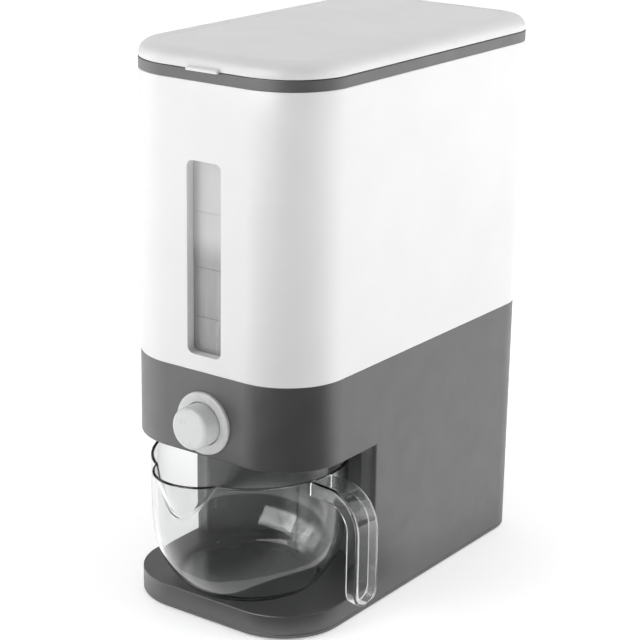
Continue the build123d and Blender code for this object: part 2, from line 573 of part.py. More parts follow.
handle = strap(HANDLE_W, 0, HANDLE_DEEP)
handle -= strap(HANDLE_W - 2 * HANDLE_WALL, HANDLE_WALL, HANDLE_DEEP + 1)
end_trim = Pos(0, HANDLE_END_Z + HANDLE_W / 2) * Circle(HANDLE_W / 2)
end_trim += Pos(0, HANDLE_END_Z + HANDLE_W / 2 + 60) * Rectangle(HANDLE_W, 120)
trim = Pos(JUG_R - 10, 0, 0) * extrude(Plane.YZ * end_trim, HANDLE_OUT + 20)
handle = handle & trim
handle -= bowl_out
handle = sorted(handle.solids(), key=lambda s: s.volume)[-1]
save(place * handle, "jug_handle")
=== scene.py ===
import bpy
import bmesh
import math
import numpy as np
from mathutils import Matrix, Vector


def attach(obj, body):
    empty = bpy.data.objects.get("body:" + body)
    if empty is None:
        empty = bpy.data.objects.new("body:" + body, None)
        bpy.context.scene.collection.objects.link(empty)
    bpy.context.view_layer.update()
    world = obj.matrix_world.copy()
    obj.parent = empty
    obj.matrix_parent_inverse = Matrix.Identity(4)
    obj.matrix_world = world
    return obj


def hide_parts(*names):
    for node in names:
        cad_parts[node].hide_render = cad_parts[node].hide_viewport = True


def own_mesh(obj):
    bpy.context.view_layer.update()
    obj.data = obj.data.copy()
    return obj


# Countertop dry-food dispenser. The CAD nodes keep their meshes and get finishes; the bin's wall,
# the lid's cap, the jug, its strap and the return spring are made anew as finer surfaces.
# Sizes are in millimetres until a mesh is made. Shaders, lights and camera are in metres.
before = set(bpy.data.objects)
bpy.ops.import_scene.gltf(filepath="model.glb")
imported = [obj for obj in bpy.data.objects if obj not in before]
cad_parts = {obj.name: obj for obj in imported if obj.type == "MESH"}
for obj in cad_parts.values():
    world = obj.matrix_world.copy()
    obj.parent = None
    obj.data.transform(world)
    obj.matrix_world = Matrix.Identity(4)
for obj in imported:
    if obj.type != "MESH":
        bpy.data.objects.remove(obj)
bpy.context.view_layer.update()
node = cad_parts

# ---- sizes shared with the CAD model ----------------------------------------------------
WIDTH, DEPTH, FRONT_R, REAR_R, WALL = 160.0, 290.0, 46.0, 31.0, 3.0
FRONT, REAR = -DEPTH / 2, DEPTH / 2
SEAM_Z, RIM_BOTTOM, RIM_TOP = 182.5, 378.0, 385.5
WINDOW_HALF_W, WINDOW_Z0, WINDOW_Z1, WINDOW_R, REVEAL = 14.0, 194.0, 326.0, 4.5, 7.0
HINGE_X, HINGE_Y, HINGE_Z, KNUCKLE_R, KNUCKLE_HALF = 40.0, REAR + 5.0, RIM_TOP + 2.5, 4.0, 6.0
TAB_HALF_W, TAB_REACH = 13.0, 3.0
LID_INSET, SHOULDER_IN, SHOULDER_RISE, DISH_RUN, DISH_DEEP = 0.3, 12.6, 9.2, 2.2, 0.7
JUG_Y, JUG_YAW, JUG_R, JUG_BASE_R, JUG_Z, JUG_RIM_Z = FRONT + 51.0, -7.5, 69.0, 48.0, 18.3, 110.7
JUG_WALL, JUG_FLOOR, JUG_SHAPE = 2.2, 2.8, 4.9
SPOUT_REACH, SPOUT_DROP, SPOUT_HALF_W = 12.0, 29.0, 30.0
STRAP_W, STRAP_DEEP, STRAP_OUT, STRAP_BEND, STRAP_END_Z, STRAP_T = 22.5, 10.0, 43.0, 28.0, 30.0, 2.0
BUTTON_Z, SPRING_Y0, SPRING_Y1 = 146.8, -158.3, -128.2
SPRING_R, SPRING_TURNS, WIRE_R = 9.0, 6.0, 0.6


# ---- shader tools -----------------------------------------------------------------------
class Signal:
    """One shader value. Python's operators on it add Math nodes."""

    def __init__(self, maker, socket):
        self.maker, self.socket = maker, socket

    def _math(self, operation, *values):
        return self.maker.add("ShaderNodeMath", {"operation": operation}, values)

    def __add__(self, other):
        return self._math("ADD", self, other)

    __radd__ = __add__

    def __sub__(self, other):
        return self._math("SUBTRACT", self, other)

    def __rsub__(self, other):
        return self._math("SUBTRACT", other, self)

    def __mul__(self, other):
        return self._math("MULTIPLY", self, other)

    __rmul__ = __mul__

    def step(self, low, high, low_out=0.0, high_out=1.0):
        """A smooth rise from low_out to high_out between two input values."""
        return self.maker.add("ShaderNodeMapRange", {"interpolation_type": "SMOOTHSTEP"},
                              {"Value": self, "From Min": low, "From Max": high,
                               "To Min": low_out, "To Max": high_out})


class NodeMaker:
    """Adds nodes to one node tree."""

    def __init__(self, tree):
        self.tree = tree

    def feed(self, socket, value):
        """Links a Signal to a socket, or sets a plain number, vector or colour on it."""
        if isinstance(value, Signal):
            self.tree.links.new(value.socket, socket)
        elif isinstance(value, (tuple, list)):
            n = len(socket.default_value)
            socket.default_value = (tuple(value) + (1.0,))[:n] if len(value) < n else tuple(value[:n])
        else:
            socket.default_value = value

    def add(self, kind, settings=None, inputs=(), output=0):
        """Makes a node of any type: settings first, then socket values or links."""
        made = self.tree.nodes.new(kind)
        for key, value in (settings or {}).items():
            setattr(made, key, value)
        pairs = inputs.items() if isinstance(inputs, dict) else enumerate(inputs)
        for key, value in pairs:
            self.feed(made.inputs[key], value)
        return Signal(self, made.outputs[output])


class Finish(NodeMaker):
    """A material with one Principled shader; constants go straight on its sockets."""

    def __init__(self, name, **constants):
        self.material = bpy.data.materials.new(name)
        self.material.use_nodes = True
        super().__init__(self.material.node_tree)
        self.shader = self.tree.nodes["Principled BSDF"]
        self.set(**constants)

    def set(self, **values):
        """Feeds the shader's sockets by name, with _ for a space."""
        for key, value in values.items():
            self.feed(self.shader.inputs[key.replace("_", " ")], value)

    def place(self):
        """The point in the object's own coordinates."""
        return self.add("ShaderNodeTexCoord", output="Object")

    def axis(self, letter):
        """One coordinate of the point in metres."""
        return self.add("ShaderNodeSeparateXYZ", inputs=[self.place()], output="XYZ".index(letter))

    def noise(self, scale, detail=3.0, rough=0.5, stretch=(1.0, 1.0, 1.0)):
        """Soft noise from 0 to 1; scale is in features per metre."""
        where = self.add("ShaderNodeMapping", {"vector_type": "POINT"},
                         {"Vector": self.place(), "Scale": stretch})
        return self.add("ShaderNodeTexNoise", {"noise_dimensions": "3D"},
                        {"Vector": where, "Scale": scale, "Detail": detail, "Roughness": rough})

    def blend(self, amount, low, high):
        """A colour between two colours."""
        return self.add("ShaderNodeMix", {"data_type": "RGBA", "clamp_factor": True},
                        {0: amount, 6: low, 7: high}, output=2)

    def bump(self, height, strength, distance):
        """A normal tilted by the slope of a height; distance is the relief in metres."""
        return self.add("ShaderNodeBump", None,
                        {"Height": height, "Strength": strength, "Distance": distance})


def grey(level, tint=(1.0, 1.0, 1.0)):
    """A neutral colour, or one a little off neutral by its tint."""
    return tuple(level * t for t in tint)


def moulded(name, light, dark, rough, grain, relief, tint=(1.0, 1.0, 1.0), matt=None, **constants):
    """Moulded plastic: cloudy tone, a fine texture from the mould and uneven gloss. The mask
    function, if given, gives 0 to 1 for painted shade: a colour painted darker there, and more roughness."""
    f = Finish(name, **constants)
    cloud = f.noise(22.0, 4.0, 0.55)
    fine = f.noise(grain, 2.0, 0.6)
    tone = cloud * 0.8 + fine * 0.2
    gloss = f.noise(65.0, 3.0, 0.6)
    colour = f.blend(tone.step(0.3, 0.7), grey(dark, tint), grey(light, tint))
    gloss = gloss.step(0.25, 0.75, rough - 0.035, rough + 0.045)
    # painted shade: the masked place is painted darker, and made rougher
    if matt:
        mask = matt(f)
        colour, gloss = f.blend(mask, colour, grey(dark * 0.6, tint)), gloss + mask * 0.4
    f.set(Base_Color=colour, Roughness=gloss, Normal=f.bump(fine, relief, 0.0002))
    return f


def bay_shade(f):
    """Painted shade: 1 on the hollow wall round the jug, between the deck and the head, 0 elsewhere."""
    out = f.add("ShaderNodeVectorMath", {"operation": "LENGTH"},
                [f.add("ShaderNodeVectorMath", {"operation": "MULTIPLY_ADD"},
                       [f.place(), (1.0, 1.0, 0.0), (0.0, -JUG_Y / 1000, 0.0)])], output=1)
    level = f.axis("Z")
    return (out.step(0.0774, 0.0786, 1.0, 0.0) * level.step(0.0181, 0.0187)
            * level.step(0.1222, 0.1226, 1.0, 0.0))


white = moulded("white satin plastic", 0.80, 0.775, 0.38, 1500.0, 0.10, IOR=1.6,
                Specular_IOR_Level=0.95)
lid_white = moulded("lid white plastic", 0.80, 0.765, 0.40, 1300.0, 0.12, IOR=1.5)
# The grey is painted darker in the bay's hollow round the jug: painted shade.
dark = moulded("grey satin plastic", 0.056, 0.050, 0.38, 1400.0, 0.08, (1.0, 1.0, 1.015), bay_shade,
               IOR=1.6, Specular_IOR_Level=0.95)
inner = moulded("inner plastic", 0.62, 0.58, 0.5, 900.0, 0.2, (1.0, 1.0, 0.985))
button = moulded("button plastic", 0.74, 0.71, 0.30, 1600.0, 0.06, (0.99, 1.0, 1.005), IOR=1.5)
collar = moulded("collar plastic", 0.74, 0.715, 0.26, 1600.0, 0.05, (0.995, 1.0, 1.005), IOR=1.5)
rubber = moulded("foot rubber", 0.035, 0.022, 0.75, 2200.0, 0.5)
silicone = moulded("gasket silicone", 0.50, 0.44, 0.55, 1800.0, 0.15)

steel = Finish("brushed steel", Metallic=1.0)
lines = steel.noise(1800.0, 3.0, 0.65, (1.0, 1.0, 0.06))
steel.set(Base_Color=steel.blend(lines.step(0.3, 0.7), grey(0.46), grey(0.66)),
          Roughness=lines.step(0.2, 0.8, 0.22, 0.40),
          Normal=steel.bump(lines, 0.2, 0.0001))

# Translucent strip: the inside behind it is painted on, its darker lower part with a soft top
# edge being painted shade, darker still towards the bottom.
pane = Finish("window strip", IOR=1.5, Coat_Weight=0.35, Coat_Roughness=0.08)
height = pane.axis("Z") + (pane.noise(60.0, 3.0) - 0.5) * 0.004
streak = pane.noise(120.0, 3.0, 0.6, (1.0, 1.0, 0.12))
behind = pane.blend(height.step(0.2560, 0.2760), grey(0.34), grey(0.58))
deep = pane.blend(height.step(0.196, 0.256), grey(0.27), behind)
pane.set(Base_Color=pane.blend(streak.step(0.25, 0.85, 0.0, 0.16), deep, grey(0.72)),
         Roughness=streak.step(0.2, 0.8, 0.16, 0.30),
         Normal=pane.bump(streak, 0.08, 0.0003))

# Clear moulded plastic: very smooth, with a trace of haze and flow lines. It casts a light shade.
clear = Finish("clear plastic", IOR=1.49, Transmission_Weight=1.0, Base_Color=(0.935, 0.94, 0.94))
flow = clear.noise(30.0, 2.0, 0.5, (1.0, 1.0, 0.35))
clear.set(Roughness=flow.step(0.3, 0.8, 0.0, 0.012), Normal=clear.bump(flow, 0.04, 0.0002))
lamp_ray = clear.add("ShaderNodeLightPath", output="Is Shadow Ray")
let_by = clear.add("ShaderNodeBsdfTransparent", None, {"Color": (0.86, 0.87, 0.87)})
walls = clear.add("ShaderNodeMixShader", None,
                  {0: lamp_ray, 1: Signal(clear, clear.shader.outputs[0]), 2: let_by})
clear.feed(clear.tree.nodes["Material Output"].inputs["Surface"], walls)

FINISH = {"lower_housing": dark, "bottom_cover": dark, "rim_frame": dark, "outlet_nozzle": dark,
          "upper_bin": white, "lid_shell": lid_white, "lid_liner": white, "window_pane": pane,
          "hopper_funnel": inner, "gate_guide": inner, "gate_slide": inner, "spring_seat": inner,
          "button_cap": button, "button_collar": collar, "lid_gasket": silicone,
          "rubber_feet": rubber, "jug_bowl": clear, "jug_handle": clear}
for name, part in node.items():
    part.data.materials.clear()
    part.data.materials.append(FINISH.get(name, steel).material)


# ---- surface tools ----------------------------------------------------------------------
def arc(cx, cy, r, a0, a1, n):
    """n + 1 points on a circle between two angles in degrees."""
    t = np.radians(np.linspace(a0, a1, n + 1))
    return np.stack([cx + r * np.cos(t), cy + r * np.sin(t)], 1)


def line(a, b, n):
    """n points evenly from a towards b, b itself left out."""
    t = np.linspace(0, 1, n + 1)[:-1, None]
    return np.asarray(a, float) * (1 - t) + np.asarray(b, float) * t


def ease(points, radii, n=5):
    """A closed outline with its corners rounded: each corner with a radius becomes an arc that
    touches both of its sides."""
    pts, out = np.asarray(points, float), []
    for before, at, after, r in zip(np.roll(pts, 1, 0), pts, np.roll(pts, -1, 0), radii):
        if r == 0:
            out.append(at[None])
            continue
        a, b = before - at, after - at
        a, b = a / np.linalg.norm(a), b / np.linalg.norm(b)
        half = math.acos(float(np.clip(a @ b, -1, 1))) / 2
        centre = at + (a + b) / np.linalg.norm(a + b) * (r / math.sin(half))
        start, end = at + a * r / math.tan(half) - centre, at + b * r / math.tan(half) - centre
        t = np.linspace(0, 1, n + 1)[:, None]
        swing = math.pi - 2 * half
        from_start, from_end = np.sin((1 - t) * swing), np.sin(t * swing)
        out.append(centre + (from_start * start + from_end * end) / math.sin(swing))
    return np.concatenate(out)


def skin(grids, caps=()):
    """Vertices and faces of grids of points. A grid is (P, wrap_i, wrap_j, keep): P[i, j] joins its
    neighbours, wrap_i and wrap_j join the last row and column to the first, and keep says which
    faces are made. caps are rings of points, each closed by one flat face."""
    verts, faces, base = [], [], 0
    for P, wrap_i, wrap_j, keep in grids:
        ni, nj = P.shape[:2]
        idx = np.arange(ni * nj).reshape(ni, nj) + base
        ahead = np.roll(idx, -1, 0)
        quad = np.stack([idx, ahead, np.roll(ahead, -1, 1), np.roll(idx, -1, 1)], -1)
        quad = quad[:ni if wrap_i else ni - 1, :nj if wrap_j else nj - 1]
        quad = quad.reshape(-1, 4) if keep is None else quad[keep[:quad.shape[0], :quad.shape[1]]]
        verts.append(P.reshape(-1, 3))
        faces += quad.tolist()
        base += ni * nj
    for ring in caps:
        verts.append(ring)
        faces.append(list(range(base, base + len(ring))))
        base += len(ring)
    return np.concatenate(verts), faces


def piece(name, body, finish, parts, replaces=(), sharp=38.0):
    """Makes one object from closed skins, doubles merged, faces outwards, smooth but for edges
    sharper than `sharp` degrees, riding on `body`."""
    mesh = bpy.data.meshes.new(name)
    bm = bmesh.new()
    for verts, faces in parts:
        lump = bpy.data.meshes.new("lump")
        lump.from_pydata((verts * 0.001).tolist(), [], faces)
        one = bmesh.new()
        one.from_mesh(lump)
        bmesh.ops.remove_doubles(one, verts=one.verts, dist=2e-6)
        bmesh.ops.dissolve_degenerate(one, edges=one.edges, dist=1e-7)
        bmesh.ops.recalc_face_normals(one, faces=one.faces)
        if one.calc_volume(signed=True) < 0:
            bmesh.ops.reverse_faces(one, faces=one.faces)
        open_edges = sum(not e.is_manifold for e in one.edges)
        if open_edges:
            print(name, "has", open_edges, "open edges")
        one.to_mesh(lump)
        bm.from_mesh(lump)
        one.free()
        bpy.data.meshes.remove(lump)
    bm.to_mesh(mesh)
    bm.free()
    mesh.shade_smooth()
    mesh.set_sharp_from_angle(angle=math.radians(sharp))
    mesh.materials.append(finish.material)
    made = bpy.data.objects.new(name, mesh)
    bpy.context.scene.collection.objects.link(made)
    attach(made, body)
    if replaces:
        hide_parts(*replaces)
    return made


def plan_line(front_x, side=20, turn=26):
    """Points round the body's plan and their outward directions, anticlockwise from the front's
    left end: straights joined by quarter circles."""
    fx, rx, fy, ry = WIDTH / 2 - FRONT_R, WIDTH / 2 - REAR_R, FRONT + FRONT_R, REAR - REAR_R
    runs = [(np.stack([front_x[:-1], np.full(len(front_x) - 1, FRONT)], 1), (0, -1)),
            (arc(fx, fy, FRONT_R, -90, 0, turn)[:-1], (fx, fy)),
            (line((WIDTH / 2, fy), (WIDTH / 2, ry), side), (1, 0)),
            (arc(rx, ry, REAR_R, 0, 90, turn)[:-1], (rx, ry)),
            (line((rx, REAR), (-rx, REAR), 12), (0, 1)),
            (arc(-rx, ry, REAR_R, 90, 180, turn)[:-1], (-rx, ry)),
            (line((-WIDTH / 2, ry), (-WIDTH / 2, fy), side), (-1, 0)),
            (arc(-fx, fy, FRONT_R, 180, 270, turn)[:-1], (-fx, fy))]
    points, ways = [], []
    for k, (p, c) in enumerate(runs):
        points.append(p)
        way = p - np.array(c) if k % 2 else np.broadcast_to(np.array(c, float), p.shape)
        ways.append(way / np.linalg.norm(way, axis=1)[:, None])
    return np.concatenate(points), np.concatenate(ways)


def carry(profile, plan):
    """A profile of (inset, height) carried round the plan: every point moves inwards by its
    inset, square to the plan."""
    points, ways = plan
    inset, z = np.asarray(profile, float).T
    xy = points[:, None] - ways[:, None] * inset[None, :, None]
    return np.concatenate([xy, np.broadcast_to(z[None, :, None], xy.shape[:2] + (1,))], 2)


# ---- bin wall with its sunk window ------------------------------------------------------
# The front is left open in a rectangle round the window, which a second grid of rings fills.
margin, nx, nz = 8.0, 16, 32          # of the rectangle round the window, and its faces each way
edge_x, edge_z0, edge_z1 = WINDOW_HALF_W + margin, WINDOW_Z0 - margin, WINDOW_Z1 + margin
corner_x = WIDTH / 2 - FRONT_R        # where the flat front ends
beside_x, above_z = (edge_x + corner_x) / 2, edge_z1 + 18.0
xs = np.concatenate([[-corner_x, -beside_x], np.linspace(-edge_x, edge_x, nx + 1),
                     [beside_x, corner_x]])
zs = np.linspace(edge_z0, edge_z1, nz + 1)
seam_ease, lip_r = 0.35, 0.5
low_out = arc(seam_ease, SEAM_Z + seam_ease, seam_ease, 270, 180, 4)
high_out = arc(seam_ease, RIM_BOTTOM - seam_ease, seam_ease, 180, 90, 4)
outer = np.concatenate([low_out, np.stack([zs * 0, zs], 1), [[0, above_z]], high_out])
inward = np.stack([zs * 0 + WALL, zs[::-1]], 1)
inner_side = np.concatenate([[[WALL, RIM_BOTTOM]], [[WALL, above_z]], inward, [[WALL, SEAM_Z]]])
profile = np.concatenate([outer, inner_side])
plan = plan_line(xs)
wall_grid = carry(profile, plan)
keep = np.ones(wall_grid.shape[:2], bool)
first_column, first_out, first_in = 2, len(low_out), len(outer) + 2
for first_row in (first_out, first_in):
    keep[first_column:first_column + nx, first_row:first_row + nz] = False


def window_line(out):
    """Points round the window's outline drawn outwards by `out`, starting in the middle of the
    lower left corner, in step with the rectangle around it."""
    w, z0, z1, r = WINDOW_HALF_W + out, WINDOW_Z0 - out, WINDOW_Z1 + out, WINDOW_R + out
    lo, hi, x = z0 + r, z1 - r, w - r
    corner = [arc(-x, lo, r, 225, 270, 4)[:-1], line((-x, z0), (x, z0), nx - 8),
              arc(x, lo, r, 270, 360, 8)[:-1], line((w, lo), (w, hi), nz - 8),
              arc(x, hi, r, 0, 90, 8)[:-1], line((x, z1), (-x, z1), nx - 8),
              arc(-x, hi, r, 90, 180, 8)[:-1], line((-w, hi), (-w, lo), nz - 8),
              arc(-x, lo, r, 180, 225, 4)[:-1]]
    return np.concatenate(corner)


rect = np.concatenate([line((-edge_x, edge_z0), (edge_x, edge_z0), nx),
                       line((edge_x, edge_z0), (edge_x, edge_z1), nz),
                       line((edge_x, edge_z1), (-edge_x, edge_z1), nx),
                       line((-edge_x, edge_z1), (-edge_x, edge_z0), nz)])
lip = arc(lip_r, lip_r, lip_r, 270, 180, 5)      # (out, depth): rolls over into the reveal
rings = [(rect, 0.0), (0.55 * rect + 0.45 * window_line(1.2), 0.0), (window_line(0.9), 0.0)]
rings += [(window_line(o), d) for o, d in lip]
rings += [(window_line(0), 4.0), (window_line(0), REVEAL - 0.3), (window_line(0.3), REVEAL),
          (window_line(2.0), REVEAL), (window_line(2.0), WALL + 1.0), (window_line(2.4), WALL),
          (rect, WALL)]
window_grid = np.stack([np.stack([p[:, 0], np.full(len(p), FRONT + depth), p[:, 1]], 1)
                        for p, depth in rings], 1)
piece("bin_wall", "housing", white,
      [skin([(wall_grid, True, True, keep), (window_grid, True, False, None)])], ["upper_bin"])

# ---- lid: shallow cap with a soft shoulder, finger lip in front and two hinge knuckles ----
# Its section goes up the edge, over the shoulder on a squared-off quarter oval, down into the dish
# along half a cosine wave, and back under the cap.
shoulder_z = RIM_TOP + 1.7
crest_z = shoulder_z + SHOULDER_RISE
t = np.radians(np.linspace(0, 90, 15))
shoulder = np.stack([LID_INSET + SHOULDER_IN * (1 - np.cos(t) ** 0.85),
                     shoulder_z + SHOULDER_RISE * np.sin(t) ** 0.9], 1)
dish = np.radians(np.linspace(0, 180, 9))
dish_in = LID_INSET + SHOULDER_IN + 1.0
top = np.stack([dish_in + DISH_RUN * dish / math.pi, crest_z - DISH_DEEP * (1 - np.cos(dish)) / 2], 1)
top = np.concatenate([top, [[20.0, crest_z - DISH_DEEP], [30.0, crest_z - DISH_DEEP]]])
under = np.array([[30.0, 8.0], [22.0, 7.9], [12.0, 7.3], [6.5, 5.3], [4.0, 2.7], [3.3, 0.7],
                  [3.1, 0.3]]) + [0, RIM_TOP]
foot_edge = arc(LID_INSET + 0.45, RIM_TOP + 0.75, 0.45, 270, 180, 4)
lid_profile = np.concatenate([foot_edge, shoulder, top])
plain = plan_line(np.linspace(-corner_x, corner_x, 9))
cap_grid = carry(np.concatenate([lid_profile, under]), plain)
n_top = len(lid_profile)
keep_cap = np.ones(cap_grid.shape[:2], bool)
keep_cap[:, n_top - 1] = False        # the flat middles, above and below, are closed by caps
lid_skin = skin([(cap_grid, True, True, keep_cap)], [cap_grid[:, n_top - 1], cap_grid[:, n_top][::-1]])


def bar(outline, x0, x1, soft):
    """An outline in (y, z) carried from x0 to x1. Near the ends it shrinks about its centre along
    a quarter circle of radius `soft`."""
    centre = outline.mean(0)
    turns = arc(0, 0, soft, 0, 90, 4)
    size = np.linalg.norm(outline - centre, axis=1).mean()
    rows = [(x0 + soft - b, 1 - (soft - a) / size) for a, b in turns[::-1]]
    rows += [(x1 - soft + b, 1 - (soft - a) / size) for a, b in turns]
    grid = np.stack([np.concatenate([np.full((len(outline), 1), x), centre + (outline - centre) * k], 1)
                     for x, k in rows], 1)
    return skin([(grid, True, False, None)], [grid[:, 0], grid[:, -1]])


knuckle = np.concatenate([arc(HINGE_Y, HINGE_Z, KNUCKLE_R, -150, 90, 24),
                          [[REAR - 1.5, HINGE_Z + KNUCKLE_R], [REAR - 1.5, HINGE_Z - 1.5]]])
lugs = [bar(knuckle, s * HINGE_X - KNUCKLE_HALF, s * HINGE_X + KNUCKLE_HALF, 0.5) for s in (-1, 1)]
lip_line = ease(np.array([[-TAB_REACH, -0.5], [-TAB_REACH, 1.6], [2.0, 2.5], [2.0, 0.4],
                          [-0.35, 0.4], [-0.35, -0.5]]) + [FRONT, RIM_TOP],
                [0.7, 0.7, 0, 0, 0, 0.3], 4)
finger_lip = bar(lip_line, -TAB_HALF_W, TAB_HALF_W, 1.0)
piece("lid_cap", "lid", lid_white, [lid_skin] + lugs + [finger_lip], ["lid_shell"])


# ---- jug bowl with its spout ------------------------------------------------------------
def bowl_radius(share):
    """Base radius plus what is left of the widening, which falls off as a high power."""
    return JUG_BASE_R + (JUG_R - JUG_BASE_R) * (1 - (1 - np.clip(share, 0, 1)) ** JUG_SHAPE)


def wall_radius(angle, z, inset):
    """The larger of the bowl's circle and an upright cone that stands off its axis and opens
    upwards, with a small ridge where they meet. Angle 0 is the middle of the spout. At the rim the
    cone's circle goes through the spout's tip and its two ends. Below, it shrinks evenly, and is
    inside the bowl SPOUT_DROP further down."""
    chord = math.sqrt(JUG_R ** 2 - SPOUT_HALF_W ** 2)
    reach = JUG_R + SPOUT_REACH
    d = (reach ** 2 - chord ** 2 - SPOUT_HALF_W ** 2) / (2 * (reach - chord))
    slope = (reach - JUG_R) / SPOUT_DROP
    cone = np.clip(JUG_R - d + (z - JUG_RIM_Z + SPOUT_DROP) * slope - inset, 0.5, None)
    a = np.clip(np.abs(angle), 0, math.pi / 2)
    root = cone ** 2 - (d * np.sin(a)) ** 2
    spout = np.where(root > 0, d * np.cos(a) + np.sqrt(np.clip(root, 0, None)), 0.0)
    bowl = bowl_radius((z - JUG_Z) / (JUG_RIM_Z - JUG_Z)) - inset
    blend, ridge = 1.1, 0.75
    gap = np.clip((spout - bowl) / blend, -1, 1)
    return np.maximum(bowl, spout) + ridge * (1 - np.abs(gap)) ** 2


fine_turn = 0.62                      # the grid is finer this far each side of the spout
turn = np.concatenate([np.linspace(-math.pi, -fine_turn, 60)[:-1], np.linspace(-fine_turn, fine_turn, 171),
                       np.linspace(fine_turn, math.pi, 60)[1:-1]])
spout_z = JUG_RIM_Z - SPOUT_DROP - 3
rise = np.concatenate([JUG_Z + 0.6 + (spout_z - JUG_Z - 0.6) * np.linspace(0, 1, 34)[:-1] ** 1.2,
                       np.linspace(spout_z, JUG_RIM_Z - 1.1, 54)])
half = JUG_WALL / 2                   # the rim is a half round
rim_t = np.radians(np.linspace(0, 180, 11))[1:-1]
rows = [(np.full_like(turn, r), np.full_like(turn, JUG_Z)) for r in (0.0, 16.0, 32.0, 44.0, 46.8)]
rows += [(wall_radius(turn, z, 0.0), np.full_like(turn, z)) for z in rise]
rows += [(wall_radius(turn, JUG_RIM_Z - half, half) + half * math.cos(a),
          np.full_like(turn, JUG_RIM_Z - half + half * math.sin(a))) for a in rim_t]
fall = rise[::-1]
fall = fall[fall > JUG_Z + JUG_FLOOR + 1.5]
rows += [(wall_radius(turn, z, JUG_WALL), np.full_like(turn, z)) for z in fall]
rows += [(np.full_like(turn, r), np.full_like(turn, JUG_Z + JUG_FLOOR + lift))
         for r, lift in ((47.2, 0.55), (45.0, 0.1), (30.0, 0.0), (15.0, 0.0), (0.0, 0.0))]
radius, level = (np.stack(x, 1) for x in zip(*rows))
way = turn[:, None] - math.pi / 2 + math.radians(JUG_YAW)
bowl_grid = np.stack([radius * np.cos(way), JUG_Y + radius * np.sin(way), level], 2)
piece("jug_shell", "jug", clear, [skin([(bowl_grid, True, False, None)])],
      ["jug_bowl"], 60)

# ---- jug handle: a channel strap with a half-round free end ------------------------------
bend_x, bend_z = JUG_R + STRAP_OUT - STRAP_BEND, JUG_RIM_Z - STRAP_BEND
root_x = JUG_R - 0.6                  # the strap starts inside the bowl's wall
runs = [bend_x - root_x, STRAP_BEND * math.pi / 2, bend_z - STRAP_END_Z]
total = sum(runs)


def strap_point(across, along, deep):
    """The strap's outer face runs level, turns down on an arc and drops straight; `deep` goes
    from that face towards the bowl, `across` is the strap's width."""
    flat = np.clip(along, None, runs[0])
    turned = np.clip((along - runs[0]) / STRAP_BEND, 0, math.pi / 2)
    drop = np.clip(along - runs[0] - runs[1], 0, None)
    x = root_x + flat + (STRAP_BEND - deep) * np.sin(turned)
    z = bend_z + (STRAP_BEND - deep) * np.cos(turned) - drop
    yaw = math.radians(JUG_YAW)
    return np.stack([x * math.cos(yaw) - across * math.sin(yaw),
                     JUG_Y + x * math.sin(yaw) + across * math.cos(yaw), z], -1)


half_w = STRAP_W / 2
side = np.concatenate([np.linspace(0, runs[0], 8)[:-1],
                       np.linspace(runs[0], runs[0] + runs[1], 18)[:-1],
                       np.linspace(runs[0] + runs[1], total - half_w, 10)[:-1]])
nose = np.radians(np.linspace(0, 180, 29))
edge = np.concatenate([np.stack([np.full_like(side, -half_w), side], 1),
                       np.stack([-half_w * np.cos(nose), total - half_w + half_w * np.sin(nose)], 1),
                       np.stack([np.full_like(side, half_w), side[::-1]], 1)])
# Each point of the section is a share of the way from the strap's edge to its spine.
spine = np.stack([np.zeros(len(edge)), np.clip(edge[:, 1], None, total - half_w)], 1)
outline = ease([[half_w, 0.0], [0.0, 0.0], [0.0, STRAP_DEEP], [STRAP_T, STRAP_DEEP],
                [STRAP_T, STRAP_T], [half_w, STRAP_T]], [0, 3.0, 0.8, 0.8, 0.6, 0], 8)
share = (outline[:, 0] / half_w)[None, :, None]
flat = edge[:, None] * (1 - share) + spine[:, None] * share
strap_grid = strap_point(flat[..., 0], flat[..., 1], outline[None, :, 1] + 0 * flat[..., 0])
root_cap = np.concatenate([strap_grid[0], strap_grid[-1][::-1]])
piece("jug_strap", "jug", clear, [skin([(strap_grid, False, False, None)], [root_cap])],
      ["jug_handle"], 50)


# ---- return spring: a coil along the button's axis, fixed on the housing ------------------
def coil(steps, sides):
    """A helix about a line along y: at share t of its length the wire's centre has turned t times
    the turns, at SPRING_R from the line. A circle of WIRE_R goes round that centre, square to
    the helix's direction."""
    t = np.linspace(0, 1, steps)[:, None, None]
    roll = np.linspace(0, 2 * math.pi, sides + 1)[:-1][None, :, None]
    full_turn, length = 2 * math.pi * SPRING_TURNS, SPRING_Y1 - SPRING_Y0
    swing = full_turn * t
    out = np.concatenate([np.cos(swing), 0 * t, np.sin(swing)], 2)
    way = np.concatenate([-np.sin(swing) * SPRING_R * full_turn, 0 * t + length,
                          np.cos(swing) * SPRING_R * full_turn], 2)
    way /= np.linalg.norm(way, axis=2, keepdims=True)
    centre = np.array([0.0, SPRING_Y0, BUTTON_Z]) + t * np.array([0.0, length, 0.0]) + SPRING_R * out
    return centre + WIRE_R * (np.cos(roll) * out + np.sin(roll) * np.cross(way, out))


wire = coil(217, 10)
spring = piece("coil_spring", "housing", steel,
               [skin([(wire, False, True, None)], [wire[0], wire[-1][::-1]])], ["return_spring"])
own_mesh(spring)

# ---- floor, light and camera ------------------------------------------------------------
ground = bpy.data.meshes.new("ground")
ground.from_pydata([(-6, -6, 0), (6, -6, 0), (6, 6, 0), (-6, 6, 0)], [], [(0, 1, 2, 3)])
ground_piece = bpy.data.objects.new("ground", ground)
bpy.context.scene.collection.objects.link(ground_piece)
# The floor glows: painted light that lifts it to white, weaker near the object and full from 1.2 m out.
sweep = Finish("pale floor", Base_Color=(0.9, 0.9, 0.9), Roughness=0.9, Specular_IOR_Level=0.0,
               Emission_Strength=1.0)
reach = sweep.add("ShaderNodeVectorMath", {"operation": "LENGTH"}, [sweep.place()], output=1)
sweep.set(Emission_Color=sweep.blend(reach.step(0.22, 1.2), grey(0.44), grey(1.0)))
ground.materials.append(sweep.material)


